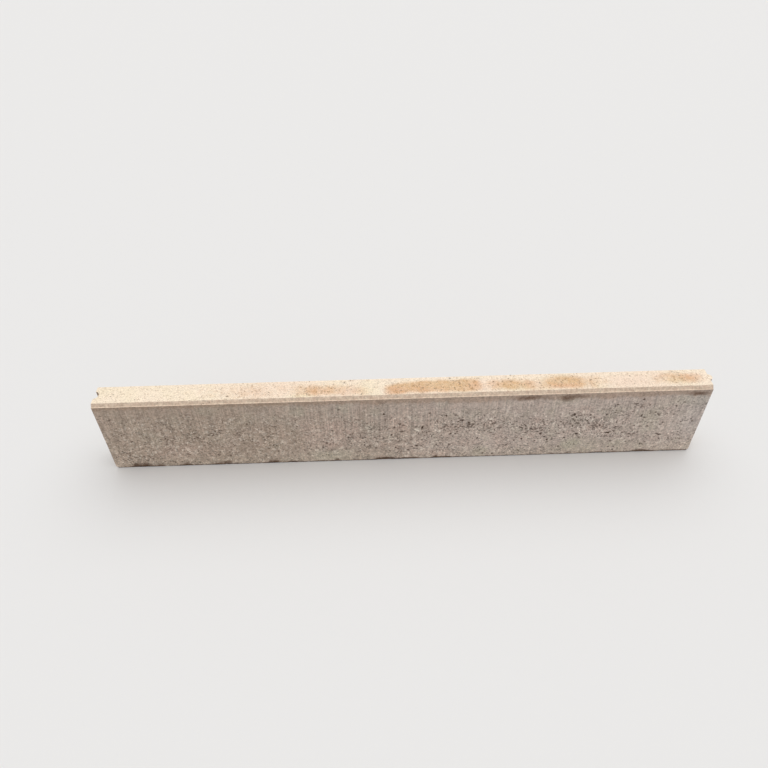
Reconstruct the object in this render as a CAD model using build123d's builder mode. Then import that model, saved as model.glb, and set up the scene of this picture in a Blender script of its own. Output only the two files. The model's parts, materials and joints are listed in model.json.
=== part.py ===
from build123d import *
import os

# A concrete kerb stone, pressed in one piece, so it is one solid.
# It stands on its base, 5 cm wide, 15 cm high and 1 m long. Both long top edges are bevelled.
# One end has a half-round groove from top to bottom, and the other end has the tongue that
# fits the groove of the next stone.
#
# Sizes are in millimetres. X runs along the stone, from the grooved end to the end with the
# tongue. Y runs from the front face to the back face. Z is up.
# The origin is in the middle of the base, halfway between the two flat end faces.

# The stone between its flat end faces
stone_length = 1000.0
stone_width = 50.0
stone_height = 150.0

# The two long top edges: a steep bevel that ends on a narrow level ledge,
# which the edge of the press stamp leaves
bevel_run = 3.7
bevel_drop = 5.0
ledge_width = 1.8

# The half-round groove in the end at -X
groove_width = 17.0
groove_depth = 7.0

# The gaps left round the tongue of one stone in the groove of the next
tongue_side_gap = 1.5
tongue_tip_gap = 1.5

# Worked out from the sizes above
half_length = stone_length / 2
half_width = stone_width / 2
ledge_height = stone_height - bevel_drop
bevel_foot = half_width - ledge_width
bevel_head = bevel_foot - bevel_run
tongue_width = groove_width - 2 * tongue_side_gap
tongue_reach = groove_depth - tongue_tip_gap

# The outline of the section, from one foot over the top to the other
section_points = [
    (-half_width, 0),
    (-half_width, ledge_height),
    (-bevel_foot, ledge_height),
    (-bevel_head, stone_height),
    (bevel_head, stone_height),
    (bevel_foot, ledge_height),
    (half_width, ledge_height),
    (half_width, 0),
]

with BuildPart() as kerb_stone:
    # The bar, from its section
    with BuildSketch(Plane.YZ):
        with BuildLine():
            Polyline(*section_points, close=True)
        make_face()
    extrude(amount=half_length, both=True)

    # The groove, cut into the end at -X over the full height
    with BuildSketch(Plane.XY):
        with BuildLine():
            groove_mouth = Line((-half_length, groove_width / 2), (-half_length, -groove_width / 2))
            ThreePointArc(groove_mouth @ 1, (groove_depth - half_length, 0), groove_mouth @ 0)
        make_face()
    extrude(amount=stone_height, mode=Mode.SUBTRACT)

    # The tongue, on the end at +X over the full height, level with the top and the base
    with BuildSketch(Plane.XY):
        with BuildLine():
            tongue_root = Line((half_length, -tongue_width / 2), (half_length, tongue_width / 2))
            ThreePointArc(tongue_root @ 1, (half_length + tongue_reach, 0), tongue_root @ 0)
        make_face()
    extrude(amount=stone_height)

kerb_stone.part.label = "kerb_stone"

os.makedirs("parts", exist_ok=True)
export_step(kerb_stone.part, "parts/kerb_stone.step")
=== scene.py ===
"""A pressed concrete kerb stone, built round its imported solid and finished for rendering.

The stone is one closed mesh inside the solid's box. Its relief is real geometry down to about a
millimetre: waves in the faces, drag marks from the mould, voids between the grains, and worn and
chipped arrises. Sand finer than that is bump in the material. Sizes are in millimetres in the
stone's own frame until the mesh is done, and the mesh is then turned to metres.
"""

import json
import logging
import math
import random
from collections.abc import Iterator
from dataclasses import dataclass, field, replace
from enum import Enum

import bmesh
import bpy
from mathutils import Euler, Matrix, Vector, noise
from mathutils.kdtree import KDTree

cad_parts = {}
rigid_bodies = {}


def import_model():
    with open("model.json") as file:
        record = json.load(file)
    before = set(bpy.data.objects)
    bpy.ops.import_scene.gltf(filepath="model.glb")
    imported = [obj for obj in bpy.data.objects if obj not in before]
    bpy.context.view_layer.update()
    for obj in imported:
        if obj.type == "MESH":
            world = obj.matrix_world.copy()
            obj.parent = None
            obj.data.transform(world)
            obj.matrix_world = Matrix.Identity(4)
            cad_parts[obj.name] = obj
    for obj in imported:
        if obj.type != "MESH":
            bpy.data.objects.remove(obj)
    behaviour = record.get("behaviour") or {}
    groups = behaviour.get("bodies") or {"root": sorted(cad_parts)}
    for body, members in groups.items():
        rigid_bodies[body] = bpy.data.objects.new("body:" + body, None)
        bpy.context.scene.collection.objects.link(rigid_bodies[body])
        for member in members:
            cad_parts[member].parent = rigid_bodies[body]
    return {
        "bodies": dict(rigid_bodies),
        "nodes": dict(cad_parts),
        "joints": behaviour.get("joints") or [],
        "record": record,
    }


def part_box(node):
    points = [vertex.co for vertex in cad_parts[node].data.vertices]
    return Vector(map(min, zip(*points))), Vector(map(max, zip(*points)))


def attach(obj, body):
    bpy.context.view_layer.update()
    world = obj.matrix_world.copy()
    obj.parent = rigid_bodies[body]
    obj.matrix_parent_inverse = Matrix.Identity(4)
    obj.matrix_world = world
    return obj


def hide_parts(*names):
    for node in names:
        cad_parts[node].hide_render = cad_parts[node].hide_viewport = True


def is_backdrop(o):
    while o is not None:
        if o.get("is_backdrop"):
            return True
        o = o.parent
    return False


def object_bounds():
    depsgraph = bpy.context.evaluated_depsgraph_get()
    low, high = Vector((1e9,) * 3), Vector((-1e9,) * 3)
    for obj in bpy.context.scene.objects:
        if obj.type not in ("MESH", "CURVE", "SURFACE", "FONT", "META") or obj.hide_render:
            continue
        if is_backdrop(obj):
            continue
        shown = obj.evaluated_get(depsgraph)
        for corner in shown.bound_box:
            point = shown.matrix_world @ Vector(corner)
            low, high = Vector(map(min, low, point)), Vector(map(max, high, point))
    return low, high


MM = 0.001
NODE = "kerb_stone"
PIECE = "pressed_kerb_stone"

# The mesh's own layers, which the material reads. hollow is how dark the voids and chips are
# drawn, for grime and painted shade in them, with the painted contact shadow along the foot
LAYERS = ("hollow", "open", "damp", "soil", "tint")
HOLLOW, OPEN, DAMP, SOIL, TINT = LAYERS

Socket = bpy.types.NodeSocket
Colour = tuple[float, float, float, float]

log = logging.getLogger("kerb")


def linear(colour: str) -> Colour:
    """Turns an sRGB hex colour into Blender's linear one.

    Args:
        colour: the colour as "#rrggbb".

    Returns:
        Linear red, green and blue, and an alpha of 1.
    """
    parts = [int(colour[i : i + 2], 16) / 255 for i in (1, 3, 5)]
    curve = [c / 12.92 if c <= 0.04045 else ((c + 0.055) / 1.055) ** 2.4 for c in parts]
    return curve[0], curve[1], curve[2], 1.0


def per(size_mm: float) -> float:
    """The scale that gives a texture on Object coordinates features of a size in millimetres."""
    return 1 / (size_mm * MM)


def swell(point: Vector, size: float) -> float:
    """Smooth noise from 0 to 1 at a point, with features of a size in millimetres."""
    return 0.5 + 0.5 * noise.noise(point / size)


def ramp(value: float, start: float, end: float) -> float:
    """A smooth step from 0 at start to 1 at end."""
    t = min(max((value - start) / (end - start), 0.0), 1.0)
    return t * t * (3 - 2 * t)


def rounding(out: float, beside: float) -> float:
    """How far a point moves in when the arris that it is near is rounded.

    Args:
        out: how far the point lies past the round's middle, towards one face.
        beside: the same towards the other face.

    Returns:
        The share of both distances by which it moves back, 0 where the round doesn't reach it.
    """
    if out <= 0 or beside <= 0:
        return 0.0
    return 1 - max(out, beside) / math.hypot(out, beside)


def arc_through(half_width: float, height: float) -> tuple[float, float]:
    """The circle of an arc, from half its chord and its height.

    Args:
        half_width: half the chord.
        height: how far the arc stands off the chord.

    Returns:
        The radius, and how far the centre lies behind the chord.
    """
    radius = (half_width**2 + height**2) / (2 * height)
    return radius, radius - height


def arc_height(across: float, half_width: float, height: float) -> float:
    """How far a round groove or tongue stands off its end face at a place across it.

    Args:
        across: the distance from the middle.
        half_width: half the width at the end face.
        height: the depth or reach in the middle.

    Returns:
        The depth or reach there, and 0 outside it.
    """
    if abs(across) >= half_width:
        return 0.0
    radius, behind = arc_through(half_width, height)
    return math.sqrt(radius**2 - across**2) - behind


def evenly(start: float, end: float, pitch: float) -> list[float]:
    """Evenly spaced places after start, up to end, about a pitch apart."""
    count = max(1, round((end - start) / pitch))
    return [start + (end - start) * i / count for i in range(1, count + 1)]


def finder(points: list[tuple[int, Vector]]) -> KDTree:
    """Sorts points, so that those near a place are found fast.

    Args:
        points: each point with its number.

    Returns:
        The tree, which gives each found point with its number.
    """
    tree = KDTree(len(points))
    for number, point in points:
        tree.insert(point, number)
    tree.balance()
    return tree


class Facing(Enum):
    """Which way a surface or an arris of the stone faces."""

    FRONT = (0, -1, 0)
    BACK = (0, 1, 0)
    TOP = (0, 0, 1)
    GROOVE_END = (-1, 0, 0)
    TONGUE_END = (1, 0, 0)
    FRONT_FOOT = (0, -1, -1)
    BACK_FOOT = (0, 1, -1)
    FRONT_CROWN = (0, -1, 1)
    BACK_CROWN = (0, 1, 1)

    @property
    def outward(self) -> Vector:
        """The direction out of the stone."""
        return Vector(self.value).normalized()


@dataclass(frozen=True)
class Hollow:
    """A void in a face or a chip in an arris: an ellipsoid taken out of the stone.

    at is a point on the surface, and half its half-sizes along X, Y and Z. The ellipsoid's centre
    lies outside the stone by the share lift of its own size, so that its rim is its widest part.
    rough is how uneven its wall is, and lumps how closely its lumps lie. lean turns it about Y, in
    degrees, and shade is how dark it is drawn, for the grime in it and painted shade.
    """

    at: tuple[float, float, float]
    half: tuple[float, float, float]
    facing: Facing
    lift: float = 0.35
    rough: float = 0.25
    lean: float = 0.0
    shade: float = 1.0
    lumps: float = 1.6

    @property
    def centre(self) -> Vector:
        """The ellipsoid's centre."""
        reach = Vector([o * h for o, h in zip(self.facing.outward, self.half)])
        return Vector(self.at) + reach * self.lift

    @property
    def reach(self) -> float:
        """The radius of a ball that holds the ellipsoid, with its uneven wall."""
        return max(self.half) * (1 + self.rough)

    def share(self, point: Vector) -> tuple[float, Vector]:
        """How far out a point lies, and in which direction.

        Args:
            point: a point in millimetres.

        Returns:
            The distance from the centre, with 1 at the ellipsoid's uneven wall, and the direction
            in the ellipsoid's own scale.
        """
        offset = self.leaned(point - self.centre, -self.lean)
        scaled = Vector([o / h for o, h in zip(offset, self.half)])
        length = scaled.length
        if length < 1e-6:
            return 0.0, -self.facing.outward
        direction = scaled / length
        wall = 1 + self.rough * noise.noise(direction * self.lumps + Vector(self.at))
        return length / wall, direction * wall

    def wall_point(self, direction: Vector) -> Vector:
        """The point of the wall in a direction that share() gave."""
        offset = Vector([d * h for d, h in zip(direction, self.half)])
        return self.centre + self.leaned(offset, self.lean)

    @staticmethod
    def leaned(offset: Vector, degrees: float) -> Vector:
        """An offset turned about Y, from X towards Z."""
        c, s = math.cos(math.radians(degrees)), math.sin(math.radians(degrees))
        return Vector((offset.x * c - offset.z * s, offset.y, offset.x * s + offset.z * c))


@dataclass(frozen=True)
class Scatter:
    """A patch of a face with voids in it, as where coarse grains lay together."""

    x: float
    z: float
    spread_x: float
    spread_z: float
    count: int


@dataclass(frozen=True)
class Patch:
    """A soft-edged patch on a face: its middle, half-sizes and strength from 0 to 1."""

    x: float
    across: float
    half_x: float
    half_across: float
    strength: float
    softness: float

    def at(self, x: float, across: float) -> float:
        """How strong the patch is at a place on its face.

        Args:
            x: the place along the stone.
            across: the place across the face.

        Returns:
            A value from 0 to the patch's strength.
        """
        along = abs(x - self.x) / self.half_x
        beside = abs(across - self.across) / self.half_across
        distance = (along**3 + beside**3) ** (1 / 3)
        return self.strength * (1 - ramp(distance, 1 - self.softness, 1 + self.softness))


def patches(*rows: tuple[float, ...]) -> tuple[Patch, ...]:
    """Patches, each from a row of its fields in order."""
    return tuple(Patch(*row) for row in rows)


@dataclass(frozen=True)
class Wear:
    """How an arris is worn: by least everywhere, and by bites of a size and a depth."""

    least: float
    bites: tuple[tuple[float, float], ...]

    def at(self, place: Vector) -> float:
        """How much is gone at a place on the arris, in millimetres."""
        bites = (deep * max(0.0, noise.noise(place / size)) for size, deep in self.bites)
        return sum(bites, self.least)


@dataclass(frozen=True)
class StoneSizes:
    """The stone's sizes in millimetres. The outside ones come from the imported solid."""

    groove_face: float
    tongue_face: float
    tongue_tip: float
    half_width: float
    height: float
    bevel_run: float = 3.7
    bevel_drop: float = 5.0
    ledge_width: float = 1.8
    groove_half_width: float = 8.5
    groove_depth: float = 7.0
    tongue_half_width: float = 7.0

    @classmethod
    def from_frame(cls, frame: dict) -> "StoneSizes":
        """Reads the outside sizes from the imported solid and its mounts.


        Returns:
            The sizes.
        """
        _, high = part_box(NODE)
        mounts = {m["name"]: m["pos_m"] for m in frame["record"]["mounts"]}
        return cls(
            groove_face=mounts["groove_end_face"][0] / MM,
            tongue_face=mounts["tongue_end_face"][0] / MM,
            tongue_tip=high.x / MM,
            half_width=high.y / MM,
            height=high.z / MM,
        )

    @property
    def length(self) -> float:
        """The length between the flat end faces."""
        return self.tongue_face - self.groove_face

    @property
    def ledge_height(self) -> float:
        """The height of the ledges under the bevels."""
        return self.height - self.bevel_drop

    @property
    def bevel_foot(self) -> float:
        """Half the width between the lower edges of the bevels."""
        return self.half_width - self.ledge_width

    @property
    def bevel_head(self) -> float:
        """Half the width of the flat top."""
        return self.bevel_foot - self.bevel_run

    @property
    def tongue_reach(self) -> float:
        """How far the tongue stands out of its end face."""
        return self.tongue_tip - self.tongue_face

    def end_at(self, x: float) -> float:
        """Where the end face is that a place or a direction along the stone belongs to."""
        return self.groove_face if x < 0 else self.tongue_face

    def section(self) -> list[tuple[float, float]]:
        """The outline of the section, from the front foot over the top.

        Returns:
            Its corners as (across, up).
        """
        front = [
            (-self.half_width, 0.0),
            (-self.half_width, self.ledge_height),
            (-self.bevel_foot, self.ledge_height),
            (-self.bevel_head, self.height),
        ]
        return front + [(-across, up) for across, up in reversed(front)]


@dataclass(frozen=True)
class Weathering:
    """Where the stone is open, damp or soiled, read from the photograph.

    The paste that the mould smears over the sides closes them near the top. Further down the
    concrete is open: the grains show, with pits between them. Patches of the top are placed along
    and across it, and those of the front along it and up. A tint is greenish above 0 and pinkish
    below. The sides close within closing_zone below the ledge, in a line that wanders by
    closing_wave. A wave, and a patch or tint of the rear, is its size and its strength. foot_line
    is how high up the foot and how far in from its rim the line of soil and painted contact shadow
    may reach.
    """

    sizes: StoneSizes
    damp: tuple[Patch, ...] = patches(
        (-300, -2, 50, 22, 0.22, 0.9), (-215, -2, 50, 22, 0.26, 0.9),
        (-252, -3, 18, 12, 0.14, 0.9), (-157, -4, 19, 12, 0.55, 0.8),
        (-132, -5, 19, 11.5, 0.6, 0.7), (-109, -4, 15, 12, 0.5, 0.7), (-79, -6, 18, 13, 0.5, 0.8),
        (-55, -10, 14, 11, 0.2, 0.9), (-13, -7.5, 17, 11.5, 0.95, 0.5),
        (18, -3, 28, 13.5, 0.85, 0.5), (48, -2, 28, 13, 0.75, 0.5), (78, -3, 28, 14.5, 0.8, 0.45),
        (108, -2, 19, 15.5, 0.9, 0.4), (132, -4, 20, 12, 0.12, 0.9), (160, -4, 19, 12, 0.76, 0.7),
        (188, -4, 19, 12, 0.8, 0.7), (219, -7, 18, 13, 0.58, 0.8),
        (262, -2, 28, 15.5, 0.95, 0.45), (300, -5, 20, 13.5, 0.55, 0.8),
        (326, -2, 20, 14, 0.26, 0.9), (430, 1, 24, 13, 0.5, 0.9), (453, 0, 22, 12, 0.4, 0.9),
        (472, -2, 17, 10, 0.58, 0.8),
    )
    top_tint: tuple[Patch, ...] = patches(
        (-440, 2, 50, 18, 0.5, 0.8), (-350, 0, 30, 16, 0.3, 0.8), (-255, -2, 24, 14, -0.5, 0.8),
        (-200, 0, 26, 18, -0.8, 0.7), (-165, -17, 20, 5, 0.7, 0.7), (-135, -8, 16, 8, -0.4, 0.7),
        (-88, -10, 18, 9, -0.9, 0.7), (-48, 0, 20, 20, 0.7, 0.7), (-15, -10, 16, 9, -1.0, 0.6),
        (45, 4, 50, 8, 0.5, 0.7), (30, -16, 30, 4, -0.4, 0.7), (85, 0, 20, 12, 0.4, 0.7),
        (118, -2, 12, 14, -0.4, 0.7), (140, -4, 16, 14, -0.8, 0.7), (180, -12, 26, 7, 0.6, 0.7),
        (213, -5, 12, 9, -0.9, 0.7), (260, 2, 24, 8, 0.4, 0.7), (262, -11, 22, 5, -0.9, 0.7),
        (300, -5, 18, 12, 0.2, 0.7), (375, -5, 42, 16, -0.8, 0.8), (438, -6, 24, 8, 0.5, 0.7),
        (474, 0, 16, 9, -1.0, 0.7),
    )
    soil: tuple[Patch, ...] = patches(
        (202, 137, 20, 6.5, 0.55, 0.9), (203, 138.5, 20, 4, 0.3, 0.9),
        (283, 138.5, 18, 4, 0.32, 0.9), (240, 138.5, 70, 4, 0.2, 0.8),
        (466, 138.5, 22, 4, 0.2, 0.9), (233, 134, 6, 5, 0.3, 0.9), (272, 136, 22, 8, 0.34, 0.9),
        (265, 134, 11, 5.5, 0.36, 0.9), (264, 130, 7, 5, 0.34, 0.9), (325, 137, 6, 2.5, 0.3, 0.9),
        (473, 137, 13, 5.2, 0.5, 0.9), (484, 136, 12, 4.2, 0.5, 0.9),
        (-454, 3, 18, 5.5, 1.0, 0.6), (-447, 8, 6, 4, 0.7, 0.7), (-463, 8, 5, 3.5, 0.5, 0.7),
        (-423, 4, 5, 5, 0.9, 0.7), (-376, 5, 6, 5.5, 0.8, 0.8), (-376, 1.5, 12, 2.5, 0.6, 0.5),
        (-318, 3, 15, 5.5, 0.8, 0.6), (-304, 5, 6, 5.5, 0.9, 0.8), (-231, 4.5, 3.5, 4, 0.9, 0.8),
        (-222, 4, 6, 5.5, 1.0, 0.7), (-232, 1.5, 14, 2, 0.8, 0.5), (-192, 2, 8, 2.5, 1.0, 0.6),
        (-115, 4, 4, 5, 0.8, 0.5), (-128, 1, 30, 1.5, 0.5, 0.5), (-27, 2.2, 24, 3.8, 0.85, 0.6),
        (-28, 4.5, 8, 3, 0.5, 0.5), (-43, 3, 4, 3, 0.7, 0.5), (12, 1.5, 14, 2.8, 1.0, 0.5),
        (66, 1, 16, 3.2, 1.0, 0.7), (56, 5, 4, 4, 0.7, 0.5), (76, 3, 5, 2.5, 0.8, 0.5),
        (94, 1, 3, 2.5, 0.9, 0.5), (188, 0.5, 14, 1.5, 0.7, 0.5), (260, 0.5, 4, 2, 0.3, 0.5),
        (289, 3, 4, 5, 0.6, 0.6), (338, 1, 12, 2.5, 1.0, 0.4), (363, 3, 8, 5, 0.45, 0.6),
        (415, 2, 18, 3.4, 1.0, 0.6), (414, 5, 7, 2.5, 0.8, 0.5), (452, 1, 3, 2, 0.8, 0.5),
        (478, 0.5, 24, 2, 0.7, 0.5),
    )
    open: tuple[Patch, ...] = patches(
        (-330, 75, 45, 25, 0.2, 0.7), (-80, 55, 70, 25, 0.3, 0.7), (60, 72, 80, 30, 0.4, 0.7),
        (150, 78, 30, 16, 0.45, 0.7), (222, 62, 36, 22, 0.65, 0.7), (308, 76, 40, 26, 0.6, 0.7),
        (362, 52, 36, 16, 0.5, 0.7), (440, 38, 34, 14, 0.2, 0.7), (395, 105, 46, 22, 0.2, 0.7),
        (-460, 24, 40, 18, 0.3, 0.7), (-400, 48, 60, 42, 0.25, 0.8),
        (-250, 45, 50, 38, 0.22, 0.8), (50, 18, 60, 12, 0.22, 0.8), (190, 18, 80, 13, 0.3, 0.8),
    )
    tint: tuple[Patch, ...] = patches(
        (-420, 72, 16, 26, 0.35, 0.8), (-318, 130, 20, 10, 0.5, 0.7),
        (-176, 124, 16, 12, 0.6, 0.7), (-98, 120, 12, 18, 0.5, 0.7), (-120, 14, 34, 15, 0.7, 0.7),
        (132, 14, 14, 14, 0.6, 0.7), (292, 20, 22, 16, 0.7, 0.7), (417, 72, 12, 20, 0.6, 0.7),
        (474, 122, 24, 12, 0.7, 0.6), (-370, 30, 60, 26, -0.4, 0.7),
        (-128, 75, 40, 32, -0.6, 0.7), (-10, 90, 22, 22, -0.4, 0.7), (24, 13, 26, 8, -0.6, 0.7),
        (66, 13, 18, 8, -0.9, 0.7), (355, 22, 60, 15, 0.28, 0.8),
    )
    closing_zone: tuple[float, float] = (42, 8)
    closing_wave: tuple[float, float] = (30, 26)
    half_open: float = 0.5
    rear_patch: tuple[float, float] = (60, 0.55)
    rear_tint: tuple[float, float] = (46, 1.25)
    foot_line: tuple[float, float] = (6, 2.5)

    def openness(self, place: Vector) -> float:
        """How open the concrete is, from 0 on the closed top to 1 in the most pitted patches.

        Args:
            place: a point of the surface, in millimetres.

        Returns:
            A value from 0 to 1.
        """
        ledge = self.sizes.ledge_height
        size, reach = self.closing_wave
        start, end = self.closing_zone
        closed = ramp(place.z + reach * (swell(place, size) - 0.5), ledge - start, ledge - end)
        value = self.half_open * (1 - closed)
        if place.y < 1 - self.sizes.half_width:
            value += sum(patch.at(place.x, place.z) for patch in self.open)
        elif place.z < ledge - 2:
            size, most = self.rear_patch
            value += most * ramp(swell(place, size), 0.5, 0.8) * (1 - closed)
        return min(1.0, value)

    def apply(self, stone: bmesh.types.BMesh) -> None:
        """Writes how open, damp, soiled and tinted each point is into the mesh's layers, and a
        painted contact shadow along the foot into the hollow layer.

        Args:
            stone: the finished mesh, in millimetres.
        """
        s = self.sizes
        tint_size, tint_most = self.rear_tint
        line_height, line_depth = self.foot_line
        hollow, opened, damp, soil, tint = (stone.verts.layers.float[name] for name in LAYERS)
        for vert in stone.verts:
            x, y, z = vert.co
            vert[opened] = self.openness(vert.co)
            if z > s.ledge_height + 1:
                vert[damp] = min(1.0, sum(patch.at(x, y) for patch in self.damp))
                vert[tint] = sum(patch.at(x, y) for patch in self.top_tint)
            elif y < 4 - s.half_width:
                vert[soil] = min(1.0, sum(patch.at(x, z) for patch in self.soil))
                vert[tint] = sum(patch.at(x, z) for patch in self.tint)
            else:
                vert[tint] = tint_most * (swell(vert.co, tint_size) - 0.5)
            rim = min(s.half_width - abs(y), x - s.groove_face, s.tongue_face - x)
            if z < line_height and rim < line_depth:
                # The foot has a line of soil all round, thicker and darker where it is soiled, and
                # a painted contact shadow along it in the hollow layer, taller and darker where it
                # is soiled
                dirty = vert[soil]
                line = 1 - ramp(z, 0.6, 1.6 + 3.4 * swell(vert.co, 9))
                vert[soil] = min(1.2, dirty + 1.2 * line)
                shadow = (0.72 + 0.22 * dirty) * (1 - ramp(z, 0.2, 1.3 + 1.9 * dirty))
                vert[hollow] = max(vert[hollow], shadow)


@dataclass
class StoneMesh:
    """Builds the stone's mesh, from the pressed shape to its voids and worn arrises.

    Cutting: column and row are the widths of its cells. arris_lines is how far its fine cuts lie
    from an arris, and foot_lines and base_line give more of them above and across the base.
    round_zone is how far in the groove and the tongue bend the columns, and squeeze_zone how far
    the groove's fine rows take to narrow to the tongue's.

    Wear: an arris within crisp_rims of the foot or the ledge is worn by crisp_share of the rest.
    apart sets the two long arrises apart in the noise that wears them. Points closer than
    beside_arris to an arris are worn a little with it, and none by more than wear_room of its
    shortest edge.

    Relief: a wave is its size and its depth. The base takes base_share of what goes deeper than
    base_level. Drag marks are as wide and as long as drag says, and grow over drag_zone up the
    sides. straight_on is how squarely a point faces down or sideways on the base or a side. The
    relief fades to foot_share at the foot.

    Hollows: an edge near a hollow is divided where it is longer than wall_cell of the hollow's
    size. Grime and painted shade in a hollow are darkest from dirt_and_shade_depth down.
    """

    sizes: StoneSizes
    weathering: Weathering
    column: float = 2.9
    row: float = 2.35
    arris_lines: tuple[float, float] = (0.5, 1.3)
    foot_lines: tuple[float, float] = (2.3, 3.6)
    base_line: float = 3.0
    groove_steps: int = 6
    round_zone: float = 26.0
    squeeze_zone: float = 60.0
    bevel_clear: float = 2.0
    corner_radius: dict[Facing, float] = field(
        default_factory=lambda: {Facing.GROOVE_END: 7.0, Facing.TONGUE_END: 6.0}
    )
    foot_wear: Wear = Wear(0.2, ((31, 1.2), (8, 1.2), (3.3, 1.2)))
    upright_wear: Wear = Wear(0.4, ((13, 1.5), (4, 1.3)))
    arris_wear: Wear = Wear(0.22, ((13, 0.9), (4, 0.9)))
    crisp_share: float = 0.45
    crisp_rims: tuple[float, float] = (2, 1)
    apart: float = 40.0
    waves: tuple[tuple[float, float], ...] = ((150, 0.22), (23, 0.1))
    base_wave: tuple[float, float] = (6.2, 0.3)
    base_level: float = 0.16
    base_share: float = 0.5
    grain: float = 5.4
    grain_depth: tuple[float, float] = (0.1, 0.4)
    drag: tuple[float, float] = (3.6, 95.0)
    drag_slice: float = 9.0
    drag_depth: float = 0.13
    drag_zone: tuple[float, float] = (10, 90)
    foot_zone: float = 4.0
    foot_share: float = 0.4
    straight_on: float = 0.8
    worn_angle: float = math.radians(30)
    beside_arris: float = 0.8
    beside_wear: float = 0.3
    wear_room: float = 0.5
    refine_rounds: int = 2
    refine_reach: float = 1.3
    wall_cell: float = 0.62
    wall_reach: float = 1.25
    carve_reach: float = 1.05
    dirt_and_shade_depth: float = 0.5
    fold: float = math.radians(108)
    iron_rounds: int = 10
    seed: int = 41

    def build(self) -> bmesh.types.BMesh:
        """Makes the whole stone in millimetres.

        Returns:
            The mesh, with a float layer for each of LAYERS.
        """
        stone = self.pressed_bar()
        self.cut_rows(stone)
        self.cut_columns(stone)
        self.shape_ends(stone)
        self.round_foot_corners(stone)
        self.wear_foot(stone)
        self.wear_uprights(stone)
        hollows = [self.settled(hollow) for hollow in self.hollows()]
        self.refine(stone, hollows)
        self.weather(stone)
        self.carve(stone, hollows)
        self.keep_in_box(stone)
        self.iron(stone)
        bmesh.ops.recalc_face_normals(stone, faces=stone.faces[:])
        return stone

    def pressed_bar(self) -> bmesh.types.BMesh:
        """Extrudes the section between the end faces.

        Returns:
            The plain bar.
        """
        stone = bmesh.new()
        for name in LAYERS:
            stone.verts.layers.float.new(name)
        section = self.sizes.section()
        end = stone.faces.new([stone.verts.new((self.sizes.groove_face, y, z)) for y, z in section])
        pulled = bmesh.ops.extrude_face_region(stone, geom=[end], use_keep_orig=True)
        moved = [item for item in pulled["geom"] if isinstance(item, bmesh.types.BMVert)]
        bmesh.ops.translate(stone, vec=(self.sizes.length, 0, 0), verts=moved)
        bmesh.ops.recalc_face_normals(stone, faces=stone.faces[:])
        return stone

    def across_lines(self) -> list[float]:
        """Where the stone is cut along Y: finely at the groove and the arrises.

        Returns:
            The places, from the front to the back.
        """
        s = self.sizes
        near, next_near = self.arris_lines
        radius, _ = arc_through(s.groove_half_width, s.groove_depth)
        mouth = math.asin(s.groove_half_width / radius)
        steps = range(1, self.groove_steps + 1)
        half = [radius * math.sin(mouth * i / self.groove_steps) for i in steps]
        half += [s.groove_half_width + near, s.groove_half_width + next_near]
        half += evenly(half[-1], s.bevel_head - next_near, self.column)
        half += [s.bevel_head - near, s.half_width - self.base_line]
        half += [s.half_width - next_near, s.half_width - near]
        return [-y for y in reversed(half)] + [0.0] + half

    def up_lines(self) -> list[float]:
        """Where the stone is cut along Z: finely at the arrises.

        Returns:
            The heights, from the base up.
        """
        s = self.sizes
        near, next_near = self.arris_lines
        foot = [near, next_near, *self.foot_lines]
        wall = evenly(foot[-1], s.ledge_height - next_near, self.row)
        bevel = [s.ledge_height + near, s.ledge_height + s.bevel_drop / 2, s.height - next_near]
        return foot + wall + [s.ledge_height - near] + bevel + [s.height - near]

    def cut_rows(self, stone: bmesh.types.BMesh) -> None:
        """Cuts the bar lengthwise, so that its faces can take relief.

        Args:
            stone: the plain bar.
        """
        cuts = [((0, y, 0), (0, 1, 0)) for y in self.across_lines()]
        cuts += [((0, 0, z), (0, 0, 1)) for z in self.up_lines()]
        for place, normal in cuts:
            everything = stone.verts[:] + stone.edges[:] + stone.faces[:]
            bmesh.ops.bisect_plane(stone, geom=everything, plane_co=place, plane_no=normal)

    def cut_columns(self, stone: bmesh.types.BMesh) -> None:
        """Cuts the bar crosswise, with close columns at its two ends.

        Args:
            stone: the bar, cut lengthwise.
        """
        s = self.sizes
        near, next_near = self.arris_lines
        places = [s.groove_face, s.groove_face + near, s.groove_face + next_near]
        places += evenly(places[-1], s.tongue_face - next_near, self.column)
        places += [s.tongue_face - near, s.tongue_face]
        cuts = len(places) - 2
        lengthwise = [e for e in stone.edges if e.calc_length() > s.length / 2]
        bmesh.ops.subdivide_edges(stone, edges=lengthwise, cuts=cuts, use_grid_fill=True)
        pitch = s.length / (cuts + 1)
        for vert in stone.verts:
            vert.co.x = places[round((vert.co.x - s.groove_face) / pitch)]

    def shape_ends(self, stone: bmesh.types.BMesh) -> None:
        """Presses the groove into one end and draws the tongue out of the other.

        Args:
            stone: the bar, cut both ways.
        """
        s = self.sizes
        mouth, root = s.groove_half_width, s.tongue_half_width
        for vert in stone.verts:
            x, y, _ = vert.co
            from_groove = x - s.groove_face
            from_tongue = s.tongue_face - x
            width = abs(y)
            if from_tongue < self.squeeze_zone and width < s.bevel_head - self.bevel_clear:
                if width <= mouth:
                    narrow = width * (root / mouth)
                else:
                    share = (width - mouth) / (s.half_width - mouth)
                    narrow = root + share * (s.half_width - root)
                part = 1 - ramp(from_tongue, 0, self.squeeze_zone)
                vert.co.y = math.copysign(width + (narrow - width) * part, y)
            if from_groove < self.round_zone:
                depth = arc_height(y, mouth, s.groove_depth)
                vert.co.x += depth * (1 - from_groove / self.round_zone)
            elif from_tongue < self.round_zone:
                reach = arc_height(vert.co.y, root, s.tongue_reach)
                vert.co.x += reach * (1 - from_tongue / self.round_zone)

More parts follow.
